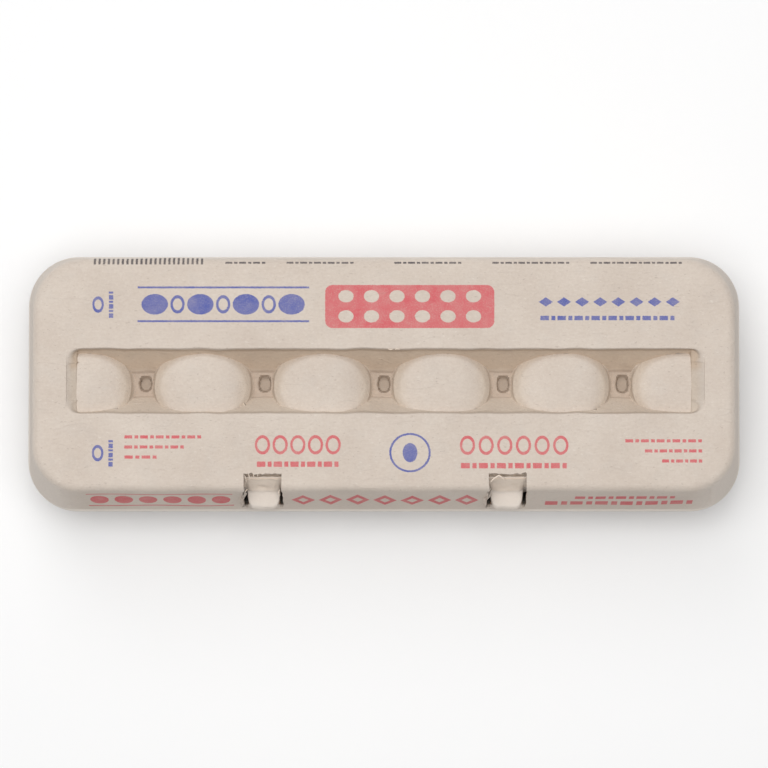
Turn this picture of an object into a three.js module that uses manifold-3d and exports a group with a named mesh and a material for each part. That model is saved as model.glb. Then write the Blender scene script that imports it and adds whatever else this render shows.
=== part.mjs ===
// A shut moulded-pulp carton for a dozen eggs, as a three.js scene graph with one solid mesh.
// Millimetres. X runs along the carton, -Y is the front with the locks, the cups stand on Z = 0.
import * as THREE from 'three';
import { LoftGeometry } from 'three/addons/geometries/LoftGeometry.js';
import { mergeVertices, toCreasedNormals } from 'three/addons/utils/BufferGeometryUtils.js';
import Module from 'manifold-3d';

// Driving dimensions
const LENGTH = 296;
const WIDTH = 106;
const HEIGHT = 68;
const RIM_HEIGHT = 36;
const CORNER_RADIUS = 21;
const CUPS_PER_ROW = 6;
const CUP_PITCH = 49;
const ROW_PITCH = 50;

// Lid: how far each wall leans in from the rim to the flat top, its lip and its rounded top edge
const END_LEAN = 7.3;
const FRONT_LEAN = 11;
const BACK_LEAN = 6.3;
const LIP_WIDTH = 1.2;
const LIP_HEIGHT = 2.4;
const LIP_EDGE = 1.5;
const LIP_CORNER_RADIUS = 20;
const TOP_FRONT_CORNER_RADIUS = 16.5;
const TOP_BACK_CORNER_RADIUS = 22;
const TOP_EDGE_RADIUS = 3.3;

// Trough sunk along the lid: a short steep step all round, then walls that slope to the floor's wells
const TROUGH_LENGTH = 260.8;
const TROUGH_WIDTH = 26.2;
const TROUGH_DEPTH = 18;
const TROUGH_CORNER = 5.6;
const TROUGH_INNER_CORNER = 1.5;
const TROUGH_EDGE_RADIUS = 0.8;
const STEP_DEPTH = 3.4;
const STEP_WIDTH = 0.6;
const END_STEP_WIDTH = 3.9;
const END_WALL_WIDTH = 6;
const FLOOR_BACK_Y = 4.2;
const FLOOR_FRONT_Y = -6;
const POCKET_HALF_X = 2.5;
const POCKET_HALF_Y = 3.5;
const POCKET_CORNER = 1.7;
const POCKET_DEPTH = 2.2;
const POCKET_TAPER = 0.3;

// A dome in the trough over each pair of eggs: a gently arched crest and a steep flank
const DOME_CREST_HALF_X = 17.1;
const DOME_CREST_HALF_Y = 12.5;
const DOME_FOOT_HALF_X = 19.8;
const DOME_FOOT_HALF_Y = 13.9;
const DOME_CREST_DEPTH = 2;
const DOME_ARCH = 1.8;
const DOME_SHOULDER = 0.7;

// Tray: cups with flat feet, a straight band under the rim, hollow posts between four cups
const FOOT_HALF = 12.5;
const CUP_SPREAD = 14;
const CUP_CURVE = 2.2;
const CUP_ROUNDNESS = 0.62;
const CUP_SQUARING = 0.2;
const CUP_TOP = 31;
const BAND_BOTTOM = 27;
const BAND_TOP = 35;
const SHELL_INSET = 2.5;
const SHELL_TAPER = 8.5;
const POST_BASE_RADIUS = 6;
const POST_TIP_RADIUS = 3;
const POST_TIP_HEIGHT = 40;

// Seam between the two rims, and the fold of the hinge behind
const SEAM_HEIGHT = 0.9;
const SEAM_DEPTH = 1.6;
const HINGE_CREASE = 1.1;
const HINGE_MARGIN = 7;

// Locks: openings over the lid's front edge, and the knobs of the tray's flap that hook through them
const LOCK_X = 50;
const LOCK_WIDTH = 15.3;
const LOCK_TOP_Y = -38.1;
const LOCK_SILL = 8.6;
const LOCK_CUT = 4.5;
const KNOB_WIDTH = 12.7;
const KNOB_HEIGHT = 11;
const KNOB_CENTRE_Y = -45;
const KNOB_REACH = 7;
const KNOB_HALF_HEIGHT = 6.5;
const FLAP_TOP = 28;
const FLAP_TOP_Y = -40.3;
const FLAP_LEAN = 0.62;
const FLAP_TAPER = 0.13;
const FLAP_THICKNESS = 3;

const PULP_COLOUR = 0xd6cabe;
const LID_HEIGHT = HEIGHT - RIM_HEIGHT;
const CORNER_STEPS = 7;
const DOME_SIDES = 28;
const OVERCUT = 1;
const WELD_DISTANCE = 1e-4;

const wasm = await Module();
wasm.setup();

/** A closed three.js geometry as a solid for joining and cutting. */
function solid(geometry) {
  const shell = new THREE.BufferGeometry();
  shell.setAttribute('position', geometry.attributes.position);
  shell.setIndex(geometry.index);
  const welded = mergeVertices(shell, WELD_DISTANCE);
  return new wasm.Manifold(new wasm.Mesh({
    numProp: 3,
    vertProperties: new Float32Array(welded.attributes.position.array),
    triVerts: new Uint32Array(welded.index.array),
  }));
}

/** Several solids as one. */
function union(solids) {
  return solids.reduce((joined, piece) => joined.add(piece));
}

/** A solid through level sections, listed from the bottom up. */
function loft(sections) {
  return solid(new LoftGeometry(sections, { capStart: true, capEnd: true }));
}

/** `count` + 1 values from `from` to `to`, evenly spaced. */
function steps(from, to, count) {
  return Array.from({ length: count + 1 }, (_, i) => THREE.MathUtils.lerp(from, to, i / count));
}

/** A level rounded rectangle, counterclockwise from above; its front corners may have their own radius. */
function roundedSection(box, radius, z, cornerSteps = CORNER_STEPS, frontRadius = radius) {
  const corners = [
    [box.max.x - radius, box.max.y - radius, radius],
    [box.min.x + radius, box.max.y - radius, radius],
    [box.min.x + frontRadius, box.min.y + frontRadius, frontRadius],
    [box.max.x - frontRadius, box.min.y + frontRadius, frontRadius],
  ];
  return corners.flatMap(([x, y, reach], quarter) => steps(quarter, quarter + 1, cornerSteps).map((turn) => {
    const angle = turn * Math.PI / 2;
    return new THREE.Vector3(x + reach * Math.cos(angle), y + reach * Math.sin(angle), z);
  }));
}

/** A rectangle of the given half sizes about (x, y). */
function boxAround(x, y, halfX, halfY) {
  return new THREE.Box2(new THREE.Vector2(x - halfX, y - halfY), new THREE.Vector2(x + halfX, y + halfY));
}

/** The rim's outline drawn in by `inset`, as a level section. */
function rimSection(inset, z) {
  const box = boxAround(0, 0, LENGTH / 2 - inset, WIDTH / 2 - inset);
  return roundedSection(box, CORNER_RADIUS - inset, z);
}

/** The X of each cup, or of each gap between two cups. */
function alongRow(count) {
  return steps(-(count - 1) / 2, (count - 1) / 2, count - 1).map((place) => place * CUP_PITCH);
}

/** How far the lid's rounded top edge draws a wall in at a height above the rim. */
function topRounding(height) {
  const intoEdge = THREE.MathUtils.clamp(1 + (height - LID_HEIGHT) / TOP_EDGE_RADIUS, 0, 1);
  return TOP_EDGE_RADIUS * (1 - Math.sqrt(1 - intoEdge ** 2));
}

/** How far a wall of the lid stands in from the rim at a height above it. */
function wallInset(lean, height) {
  const straight = lean - LIP_WIDTH - TOP_EDGE_RADIUS;
  return LIP_WIDTH + straight * height / LID_HEIGHT + topRounding(height);
}

/** The lid's outline at a height above the rim. */
function lidSection(height) {
  const box = new THREE.Box2(
    new THREE.Vector2(wallInset(END_LEAN, height) - LENGTH / 2, wallInset(FRONT_LEAN, height) - WIDTH / 2),
    new THREE.Vector2(LENGTH / 2 - wallInset(END_LEAN, height), WIDTH / 2 - wallInset(BACK_LEAN, height)),
  );
  const rise = height / LID_HEIGHT;
  const back = THREE.MathUtils.lerp(LIP_CORNER_RADIUS, TOP_BACK_CORNER_RADIUS, rise) - topRounding(height);
  const front = THREE.MathUtils.lerp(LIP_CORNER_RADIUS, TOP_FRONT_CORNER_RADIUS, rise) - topRounding(height);
  return roundedSection(box, back, RIM_HEIGHT + height, CORNER_STEPS, front);
}

/** The lid's leaning walls and rounded top edge, on its lip. */
function lidBody() {
  const edgeSteps = [0, 0.35, 0.6, 0.8, 0.93, 1];
  const edgeStart = LID_HEIGHT - TOP_EDGE_RADIUS;
  const walls = [0, ...edgeSteps.map((step) => edgeStart + TOP_EDGE_RADIUS * step)];
  const lip = loft([rimSection(0, RIM_HEIGHT), rimSection(0, RIM_HEIGHT + LIP_EDGE),
    rimSection(LIP_WIDTH + LIP_EDGE, RIM_HEIGHT + LIP_HEIGHT)]);
  return loft(walls.map(lidSection)).add(lip);
}

/** How far the trough's rounded mouth stands outside its sloping wall. */
function mouthRounding(depth) {
  const intoEdge = THREE.MathUtils.clamp(1 - depth / TROUGH_EDGE_RADIUS, 0, 1);
  return TROUGH_EDGE_RADIUS * (1 - Math.sqrt(1 - intoEdge ** 2));
}

/** The trough's outline at a depth below the lid's top. */
function troughSection(depth) {
  const step = Math.min(1, depth / STEP_DEPTH);
  const slope = Math.max(0, depth - STEP_DEPTH) / (TROUGH_DEPTH - STEP_DEPTH);
  const mouth = mouthRounding(depth);
  const halfX = TROUGH_LENGTH / 2 + mouth - END_STEP_WIDTH * step - END_WALL_WIDTH * slope;
  const ledge = TROUGH_WIDTH / 2 + mouth - STEP_WIDTH * step;
  const box = new THREE.Box2(
    new THREE.Vector2(-halfX, THREE.MathUtils.lerp(-ledge, FLOOR_FRONT_Y, slope)),
    new THREE.Vector2(halfX, THREE.MathUtils.lerp(ledge, FLOOR_BACK_Y, slope)),
  );
  const corner = THREE.MathUtils.lerp(TROUGH_CORNER, TROUGH_INNER_CORNER, step);
  return roundedSection(box, corner, HEIGHT - depth, 4);
}

/** The space of the trough: its floor, sloping walls, step and rounded mouth. */
function troughSpace() {
  const mouth = [1, 0.4, 0].map((share) => share * TROUGH_EDGE_RADIUS);
  const above = troughSection(0).map((point) => point.clone().setZ(HEIGHT + OVERCUT));
  return loft([...[TROUGH_DEPTH, STEP_DEPTH, ...mouth].map(troughSection), above]);
}

/** A level ellipse, counterclockwise from above. */
function ellipseSection(x, halfX, halfY, z) {
  return steps(0, 2 * Math.PI, DOME_SIDES).slice(1).map((angle) => (
    new THREE.Vector3(x + halfX * Math.cos(angle), halfY * Math.sin(angle), z)));
}

/** One dome of the trough, from its foot under the trough's floor to the top of its crest. */
function dome(x) {
  const floor = HEIGHT - TROUGH_DEPTH;
  const crest = HEIGHT - DOME_CREST_DEPTH;
  const arch = [0.96, 0.75, 0.4].map((share) => ellipseSection(
    x, DOME_CREST_HALF_X * share, DOME_CREST_HALF_Y * share, crest - DOME_ARCH * share ** 2));
  return loft([
    ellipseSection(x, DOME_FOOT_HALF_X, DOME_FOOT_HALF_Y, floor - OVERCUT),
    ellipseSection(x, DOME_FOOT_HALF_X, DOME_FOOT_HALF_Y, floor),
    ellipseSection(x, DOME_CREST_HALF_X, DOME_CREST_HALF_Y, crest - DOME_ARCH - DOME_SHOULDER),
    ...arch,
  ]);
}

/** The pocket in the trough's floor over a tray post, narrowing downward. */
function pocketSpace(x) {
  const floor = HEIGHT - TROUGH_DEPTH;
  const middle = (FLOOR_BACK_Y + FLOOR_FRONT_Y) / 2;
  const narrowing = POCKET_DEPTH * POCKET_TAPER;
  const top = boxAround(x, middle, POCKET_HALF_X, POCKET_HALF_Y);
  const bottom = boxAround(x, middle, POCKET_HALF_X - narrowing, POCKET_HALF_Y - narrowing);
  return loft([
    roundedSection(bottom, POCKET_CORNER, floor - POCKET_DEPTH, 3),
    roundedSection(top, POCKET_CORNER, floor, 3),
    roundedSection(top, POCKET_CORNER, floor + OVERCUT, 3),
  ]);
}

/** A prism along X of a closed outline whose points are (Y, Z). */
function prismAlongX(outline, x, width) {
  const geometry = new THREE.ExtrudeGeometry(new THREE.Shape(outline), { depth: width, bevelEnabled: false });
  geometry.applyMatrix4(new THREE.Matrix4().makeBasis(
    new THREE.Vector3(0, 1, 0), new THREE.Vector3(0, 0, 1), new THREE.Vector3(1, 0, 0)));
  geometry.translate(x - width / 2, 0, 0);
  return solid(geometry);
}

/** The opening of one lock, over the front edge from the top down to its sill. */
function lockSpace(x) {
  const sill = RIM_HEIGHT + LOCK_SILL;
  return prismAlongX([
    new THREE.Vector2(LOCK_TOP_Y, HEIGHT + OVERCUT),
    new THREE.Vector2(-WIDTH, HEIGHT + OVERCUT),
    new THREE.Vector2(-WIDTH, sill),
    new THREE.Vector2(LOCK_TOP_Y - LOCK_CUT, sill),
    new THREE.Vector2(LOCK_TOP_Y, HEIGHT - LOCK_CUT),
  ], x, LOCK_WIDTH);
}

/** How far forward the flap stands at a height: its leaning top, or the hook of the knob. */
function flapFront(height) {
  const leaning = -FLAP_TOP_Y + (FLAP_TOP - height) * FLAP_LEAN;
  const fromKnob = (height - KNOB_HEIGHT) / KNOB_HALF_HEIGHT;
  const hook = KNOB_REACH * Math.sqrt(Math.max(0, 1 - fromKnob ** 2)) - KNOB_CENTRE_Y;
  return height < KNOB_HEIGHT + KNOB_HALF_HEIGHT ? Math.min(leaning, hook) : leaning;
}

/** A level section of the flap: a straight back inside the carton and a round front. */
function flapSection(x, height) {
  const taper = FLAP_TAPER * Math.max(0, height - KNOB_HEIGHT - KNOB_HALF_HEIGHT);
  const half = KNOB_WIDTH / 2 - taper;
  const front = flapFront(height);
  const depth = Math.min(half, front + FLAP_TOP_Y + FLAP_THICKNESS);
  const z = RIM_HEIGHT + height;
  const arc = steps(Math.PI, 2 * Math.PI, 12).map((angle) => (
    new THREE.Vector3(x + half * Math.cos(angle), -front + depth * (1 + Math.sin(angle)), z)));
  const backY = LOCK_TOP_Y + FLAP_THICKNESS;
  return [...arc, new THREE.Vector3(x + half, backY, z), new THREE.Vector3(x - half, backY, z)];
}

/** The flap behind one opening, with the knob that hooks over its sill. */
function lockKnob(x) {
  const heights = [5.5, 7, 8.6, 11, 13, 14.5, 15.6, 16.4, 17.4, 19, FLAP_TOP];
  return loft(heights.map((height) => flapSection(x, height)));
}

/** One cup of the tray, from its flat foot to where it meets its neighbours. */
function cup(x, y) {
  const levels = [0, 1.5, 4, 8, 13, 20, CUP_TOP];
  return loft(levels.map((z) => {
    const rise = z / RIM_HEIGHT;
    const half = FOOT_HALF + CUP_SPREAD * (1 - (1 - rise) ** CUP_CURVE);
    return roundedSection(boxAround(x, y, half, half), half * (CUP_ROUNDNESS - CUP_SQUARING * rise), z, 4);
  }));
}

/** The tray's outer walls, which all the cups stay inside. */
function trayShell() {
  return loft([rimSection(SHELL_INSET + SHELL_TAPER, 0), rimSection(SHELL_INSET, BAND_TOP)]);
}

/** The hollow of the post between four cups, seen from below. */
function postSpace(x) {
  const geometry = new THREE.CylinderGeometry(POST_TIP_RADIUS, POST_BASE_RADIUS, POST_TIP_HEIGHT, 12);
  geometry.rotateX(Math.PI / 2);
  geometry.translate(x, 0, POST_TIP_HEIGHT / 2);
  return solid(geometry);
}

/** The lower half: twelve cups under a rim. */
function tray() {
  const cups = alongRow(CUPS_PER_ROW).flatMap((x) => [cup(x, -ROW_PITCH / 2), cup(x, ROW_PITCH / 2)]);
  const band = loft([rimSection(0, BAND_BOTTOM), rimSection(0, BAND_TOP)]);
  const rim = loft([rimSection(SHELL_INSET, RIM_HEIGHT - LIP_HEIGHT), rimSection(0, RIM_HEIGHT - LIP_EDGE),
    rimSection(0, RIM_HEIGHT)]);
  return union([...cups, band]).intersect(trayShell()).add(rim);
}

/** The lid on the tray's rim: its trough with domes and pockets, its locks. */
function lid() {
  const domes = union(alongRow(CUPS_PER_ROW).map(dome));
  const pockets = union(alongRow(CUPS_PER_ROW - 1).map(pocketSpace));
  const locks = [-LOCK_X, LOCK_X];
  return lidBody().subtract(troughSpace()).add(domes).subtract(pockets)
    .subtract(union(locks.map(lockSpace)))
    .add(union(locks.map(lockKnob)));
}

/** The groove between the rims at the front and the ends. */
function seamSpace() {
  const bottom = RIM_HEIGHT - SEAM_HEIGHT / 2;
  const top = RIM_HEIGHT + SEAM_HEIGHT / 2;
  const outside = loft([rimSection(-OVERCUT, bottom), rimSection(-OVERCUT, top)]);
  const inside = loft([rimSection(SEAM_DEPTH, bottom - OVERCUT), rimSection(SEAM_DEPTH, top + OVERCUT)]);
  const hingeSide = prismAlongX([
    new THREE.Vector2(WIDTH / 2 - HINGE_MARGIN, 0),
    new THREE.Vector2(WIDTH, 0),
    new THREE.Vector2(WIDTH, HEIGHT),
    new THREE.Vector2(WIDTH / 2 - HINGE_MARGIN, HEIGHT),
  ], 0, LENGTH * 2);
  return outside.subtract(inside).subtract(hingeSide);
}

/** The creased line of the hinge along the back. */
function hingeSpace() {
  return prismAlongX([
    new THREE.Vector2(WIDTH / 2 - HINGE_CREASE, RIM_HEIGHT),
    new THREE.Vector2(WIDTH / 2 + OVERCUT, RIM_HEIGHT - HINGE_CREASE - OVERCUT),
    new THREE.Vector2(WIDTH / 2 + OVERCUT, RIM_HEIGHT + HINGE_CREASE + OVERCUT),
  ], 0, LENGTH - 2 * CORNER_RADIUS);
}

/** The whole carton, one moulded piece. */
function carton() {
  const posts = union(alongRow(CUPS_PER_ROW - 1).map(postSpace));
  return tray().add(lid()).subtract(seamSpace()).subtract(hingeSpace()).subtract(posts);
}

/** A solid as a three.js geometry with soft shading across shallow edges. */
function geometryOf(body) {
  const { vertProperties, triVerts } = body.getMesh();
  const geometry = new THREE.BufferGeometry();
  geometry.setAttribute('position', new THREE.BufferAttribute(vertProperties, 3));
  geometry.setIndex(new THREE.BufferAttribute(triVerts, 1));
  return toCreasedNormals(geometry, Math.PI / 5);
}

const pulp = new THREE.MeshStandardMaterial({ color: PULP_COLOUR, roughness: 0.92, metalness: 0 });
const mesh = new THREE.Mesh(geometryOf(carton()), pulp);
mesh.name = 'carton';

const group = new THREE.Group();
group.add(mesh);

export default group;
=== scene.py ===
"""A shut moulded-pulp carton for a dozen eggs, dressed over its CAD frame.

Shapes are worked out in millimetres in the frame's axes (X along the carton, -Y the front, Z up)
and become metres as each mesh is made. Each shape is a grid: rings that follow a rounded-rectangle
outline, with the same columns on every ring, or a sheet of two parameters.
"""
import math

import bpy
import numpy as np
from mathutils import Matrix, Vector


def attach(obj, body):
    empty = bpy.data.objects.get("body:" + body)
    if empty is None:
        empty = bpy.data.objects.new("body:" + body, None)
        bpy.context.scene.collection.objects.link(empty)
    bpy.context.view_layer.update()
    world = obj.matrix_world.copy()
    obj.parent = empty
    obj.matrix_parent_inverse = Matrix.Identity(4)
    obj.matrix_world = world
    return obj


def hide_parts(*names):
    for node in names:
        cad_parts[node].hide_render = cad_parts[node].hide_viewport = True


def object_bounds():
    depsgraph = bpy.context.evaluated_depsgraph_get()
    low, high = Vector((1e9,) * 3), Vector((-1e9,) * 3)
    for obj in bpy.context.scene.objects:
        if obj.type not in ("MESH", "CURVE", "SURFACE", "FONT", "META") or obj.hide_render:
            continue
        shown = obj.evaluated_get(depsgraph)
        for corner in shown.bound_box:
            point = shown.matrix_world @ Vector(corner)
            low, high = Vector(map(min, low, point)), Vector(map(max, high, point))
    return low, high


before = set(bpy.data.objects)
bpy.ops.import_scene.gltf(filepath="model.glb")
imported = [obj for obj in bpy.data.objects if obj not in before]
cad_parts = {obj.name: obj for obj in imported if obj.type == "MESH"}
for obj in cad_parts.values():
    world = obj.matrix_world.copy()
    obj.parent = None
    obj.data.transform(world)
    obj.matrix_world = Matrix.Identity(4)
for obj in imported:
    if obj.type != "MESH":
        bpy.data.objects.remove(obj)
cad_low, cad_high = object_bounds()

MM = 0.001
LENGTH = (cad_high.x - cad_low.x) / MM
WIDTH = (cad_high.y - cad_low.y) / MM
HEIGHT = (cad_high.z - cad_low.z) / MM
RIM_Z = 36.0
CORNER_RADIUS = 21.0
CUP_PITCH = 49.0
ROW_Y = 25.0
CUP_X = CUP_PITCH * (np.arange(6) - 2.5)
GAP_X = CUP_PITCH * (np.arange(5) - 2.0)
PULP_WALL = 1.7
THIN_WALL = 1.2
SHARP_ANGLE = 50.0

# Lid: how far each wall leans in from rim to top, the lip at its foot, its corners and its top edge
END_LEAN = 8.1
FRONT_LEAN = 11.0
BACK_LEAN = 6.3
LIP_WIDTH = 0.6
FRONT_LIP_WIDTH = 0.3
TOP_EDGE_RADIUS = 3.3
FRONT_EDGE_RADIUS = 2.3
LIP_CORNER = 18.6
LIP_SETBACK = 0.25
TOP_FRONT_CORNER = 19.0
TOP_BACK_CORNER = 22.0
LID_RISE = HEIGHT - RIM_Z

# Upright dents in the front wall where it bends into its corners: place along X, depth
CORNER_CREASES = ((-137.0, 0.6), (-130.5, 0.6), (134.0, 1.0), (138.4, 0.5))
CREASE_WIDTH = 1.0
CREASE_SLANT = 0.06

# Trough in the lid: a short steep step, then inclined walls down to the wells between the domes
TROUGH_HALF_X = 130.2
TROUGH_SHIFT_X = 0.6
TROUGH_HALF_Y = 13.1
TROUGH_CORNER = 5.6
TROUGH_FLOOR = 54.0
STEP_DEPTH = 3.4
STEP_WIDTH = 0.6
BACK_FOOT_Y = 4.2
FRONT_FOOT_Y = 6.0
END_EDGE = 0.5
END_EDGE_WIDTH = 0.25
END_FOOT_Z = 65.1
END_WIDTH_LEFT = 4.1
END_WIDTH_RIGHT = 5.3
END_STEEP = 0.3

# Wells: a square floor with a crease round it and an oval pocket in it
WELL_HALF = 4.9
WELL_CREASE_DEPTH = 0.5
WELL_CREASE_WIDTH = 0.5
POCKET_DEPTH = 3.4
POCKET_HALF_X = 2.4
POCKET_HALF_Y = 3.2
POCKET_POWER = 2.6
POCKET_EDGE = 0.26

# Domes: a gently arched crest inside one oval, a bevel down to a larger oval, and a steep skirt
DOME_CREST = 65.0
CREST_HALF_X = 17.2
CREST_HALF_Y = 12.3
CREST_SHIFT_X = -0.4
CREST_MIDDLE_Y = -2.5
FOOT_HALF_X = 19.8
FOOT_HALF_Y = 14.0
FOOT_SHIFT_X = -0.9
FOOT_MIDDLE_Y = -1.5
FOOT_POWER = 2.4
BEVEL_SLOPE = 0.62
BEVEL_SLOPE_FALL = 0.35
BEVEL_ROUNDING = 0.25
SKIRT_FLARE = 1.7
ARCH_RADIUS_X = 40.0
ARCH_RADIUS_Y = 110.0
RIGHT_FALL = 0.013
RIGHT_FALL_FROM = 6.0

# Cups of the tray, joined by webs and hollow posts
CUP_FOOT_HALF = 12.5
CUP_SPREAD = 14.0
CUP_CURVE = 2.2
CUP_POWER = 3.4
CUP_DISH = 0.9
WEB_Z = 27.0
POST_TOP = 40.0
POST_RADIUS = 2.6
POST_SLOPE = 3.2
TRAY_WALL_TOP = 2.5
TRAY_WALL_LEAN = 8.5
TRAY_CORNER_SHARE = 0.55
TRAY_SPINE_SHARE = 0.87

# Hinge strip
HINGE_SETBACK = 1.75
HINGE_BULGE = 1.3
HINGE_CREASE = 0.28
HINGE_HALF_HEIGHT = 1.6

# Locks: openings in the lid's front, each with a piece of the tray's flap and its knob behind it
LOCK_X = 50.0
LOCK_SHIFT = 0.5
LOCK_HALF = 7.65
LOCK_TOP_Y = 37.6
LOCK_SILL = 8.6
SLOT_WIDER_LEFT = 0.8
SLOT_WIDER_RIGHT = 0.35
KNOB_HALF = 6.8
FLAP_HALF = 11.0
FLAP_WALL = 1.1

# Side view of a lock: how far forward the knob is, how far the plain flap is, and the height of both.
# The knob has a base, a hook with a flat shelf on top, and a ramp.
LOCK_SIDE = [
    (47.8, 45.0, 38.0),
    (48.0, 44.8, 43.6),
    (50.4, 44.6, 44.4),
    (52.0, 44.4, 46.0),
    (52.3, 44.0, 48.6),
    (50.9, 43.6, 50.2),
    (45.2, 43.5, 50.9),
    (43.7, 42.9, 53.2),
    (41.9, 41.7, 57.2),
    (40.3, 40.3, 60.8),
    (39.4, 39.4, 62.4),
    (38.9, 38.9, 62.7),
    (38.3, 38.3, 60.6),
    (36.8, 36.8, 59.8),
    (33.6, 33.6, 61.8),
    (29.6, 29.6, 66.2),
]

# Slivers and fibres of torn pulp at the locks and the trough's edge: radius, and the line of each
FIBRES = [
    (0.3, [(43.0, -41.8, 65.0), (44.4, -40.0, 66.2), (46.7, -38.4, 67.2), (48.2, -39.3, 66.6),
           (49.6, -40.8, 65.0)]),
    (0.2, [(-57.0, -38.0, 66.0), (-56.4, -39.6, 65.6), (-56.2, -41.6, 63.6)]),
    (0.2, [(-55.4, -37.4, 66.8), (-54.8, -39.2, 66.0), (-54.9, -40.6, 64.4)]),
    (0.18, [(-53.6, -37.4, 66.8), (-53.0, -38.8, 66.4), (-53.2, -39.8, 65.2)]),
    (0.16, [(-51.8, -37.4, 66.8), (-51.4, -38.4, 66.4), (-51.7, -39.0, 65.6)]),
    (0.32, [(-57.6, -46.2, 56.0), (-57.0, -45.0, 57.4), (-55.9, -43.8, 57.2)]),
    (0.28, [(-42.7, -44.2, 57.8), (-43.3, -45.4, 57.0), (-42.6, -46.6, 55.4)]),
    (0.18, [(1.6, 13.2, 67.8), (2.6, 12.8, 68.0), (3.8, 13.1, 67.8)]),
    (0.16, [(4.4, 12.8, 67.6), (5.2, 13.1, 68.0), (6.6, 12.9, 67.8)]),
]

# Colours
PULP_DARK = (0.545, 0.462, 0.395)
PULP_PALE = (0.655, 0.578, 0.505)
RED_INK = (0.6, 0.115, 0.13)
BLUE_INK = (0.085, 0.11, 0.36)
GREY_INK = (0.09, 0.08, 0.085)
# Painted shade: a warm tint on the trough's walls and the domes' low flanks, which lie in shade
PAINTED_WARM_SHADE = (1.0, 0.98, 0.94)
# Painted shade: a warmer, darker tint on the trough's back wall
PAINTED_BACK_WALL_SHADE = (0.94, 0.88, 0.82)
# Painted shade: darkening of the wells' floors
PAINTED_WELL_SHADE = (0.76, 0.72, 0.7)
# Painted shade: further darkening in the wells' pockets
PAINTED_POCKET_SHADE = (0.88, 0.88, 0.87)
# Painted shade: darkening of the trough's end walls
PAINTED_END_WALL_SHADE = (0.9, 0.9, 0.9)
# Painted shade: deep darkening in the locks' slots
PAINTED_SLOT_SHADE = (0.35, 0.27, 0.21)
# Painted light: a paler colour on the knobs' shelves
PAINTED_KNOB_LIGHT = (0.86, 0.79, 0.72)
# Painted light: a paler, warmer colour on the knobs' ramps
PAINTED_RAMP_LIGHT = (0.95, 0.8, 0.66)
# Painted light: a paler colour on the lid's lip and outer walls and on the tray's rim
PAINTED_RIM_LIGHT = (0.86, 0.79, 0.72)
COOL_TINGE = (0.97, 0.985, 1.0)
DARK_FLECK = (0.3, 0.24, 0.2)
PALE_FLECK = (0.74, 0.68, 0.61)
FLOOR_WHITE = (0.9, 0.9, 0.9)

# Columns of a ring keep their X out to FREE. From there to STRAIGHT they stretch to its own corner.
FREE = 108.0
STRAIGHT = 123.0

# Camera and lights
IMAGE_PX = 768
RIM_PX_PER_MM = 2.402
CAMERA_DISTANCE = 1510.0
CAMERA_TILT = math.radians(2.2)
SENSOR_MM = 36.0
LIGHT_AIM = (0, 0, 0.04)
SURROUND = 0.27


class Columns:
    """Where each column of a ring stands: its place on the straight runs, and its outward normal."""

    def __init__(self, x, y, normal_x, normal_y):
        self.x = x
        self.y = y
        self.normal_x = normal_x
        self.normal_y = normal_y


def stepped(breaks, sizes):
    """Places through all the breaks, each stretch divided evenly into steps of about its size."""
    runs = [
        np.linspace(low, high, max(1, round((high - low) / size)), endpoint=False)
        for low, high, size in zip(breaks[:-1], breaks[1:], sizes)
    ]
    return np.concatenate([*runs, breaks[-1:]])


def round_columns(along, end_steps, corner_steps):
    """Columns counterclockwise from the front left corner: straight runs with right-angle arcs between.

    The front and back runs use the X values `along`, the ends run from -1 to 1 in `end_steps` steps,
    and each corner turns the normal through 90 degrees in `corner_steps` steps. The second half of the
    round is the first half with every sign changed."""
    across = np.linspace(-1, 1, end_steps + 1)
    turn = np.radians(np.linspace(0, 90, corner_steps + 1)[1:-1])
    sin = np.sin(turn)
    cos = np.cos(turn)
    at_corner = np.ones_like(turn)
    at_front = np.ones_like(along)
    at_end = np.ones_like(across)
    halves = [
        [along, STRAIGHT * at_corner, STRAIGHT * at_end, STRAIGHT * at_corner],
        [-at_front, -at_corner, across, at_corner],
        [0 * along, sin, at_end, cos],
        [-at_front, -cos, 0 * across, sin],
    ]
    return Columns(*(np.concatenate([*half, *(-part for part in half)]) for half in halves))


def outline(columns, half_x, front, back, radius, back_radius=None):
    """Rings of points: a straight core, smaller than the ring by the corner radius, plus that radius
    along the normal.

    The sizes are arrays with one value for each ring; the back corners may have their own radius."""
    back_radius = radius if back_radius is None else back_radius
    half_x, front, back, radius, back_radius = (
        np.atleast_1d(size)[:, None] for size in (half_x, front, back, radius, back_radius))
    beyond = np.clip(np.abs(columns.x) - FREE, 0, None) / (STRAIGHT - FREE)
    turn = np.where(columns.y < 0, radius, back_radius)
    core_x = columns.x + np.sign(columns.x) * beyond * (half_x - turn - STRAIGHT)
    low = radius - front
    high = back - back_radius
    core_y = low + (high - low) * (columns.y + 1) / 2
    return core_x + turn * columns.normal_x, core_y + turn * columns.normal_y


def grid_faces(rings, count, closed=True, keep=None):
    """Quads between neighbouring rings and columns; `keep` may leave some cells out."""
    cells = count if closed else count - 1
    ring, column = np.meshgrid(np.arange(rings - 1), np.arange(cells), indexing="ij")
    after = (column + 1) % count
    quads = np.stack([ring * count + column, ring * count + after,
                      (ring + 1) * count + after, (ring + 1) * count + column], axis=-1)
    return quads.reshape(-1, 4) if keep is None else quads[keep]


def mesh_piece(name, points_mm, faces, weld=0.0):
    """A smooth-shaded mesh object at the origin, from points in millimetres."""
    mesh = bpy.data.meshes.new(name)
    mesh.from_pydata((points_mm * MM).tolist(), [], faces.tolist())
    piece = bpy.data.objects.new(name, mesh)
    bpy.context.scene.collection.objects.link(piece)
    if weld:
        bpy.context.view_layer.objects.active = piece
        joiner = piece.modifiers.new("weld", "WELD")
        joiner.merge_threshold = weld * MM
        bpy.ops.object.modifier_apply(modifier=joiner.name)
    mesh.shade_smooth()
    return piece


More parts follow.
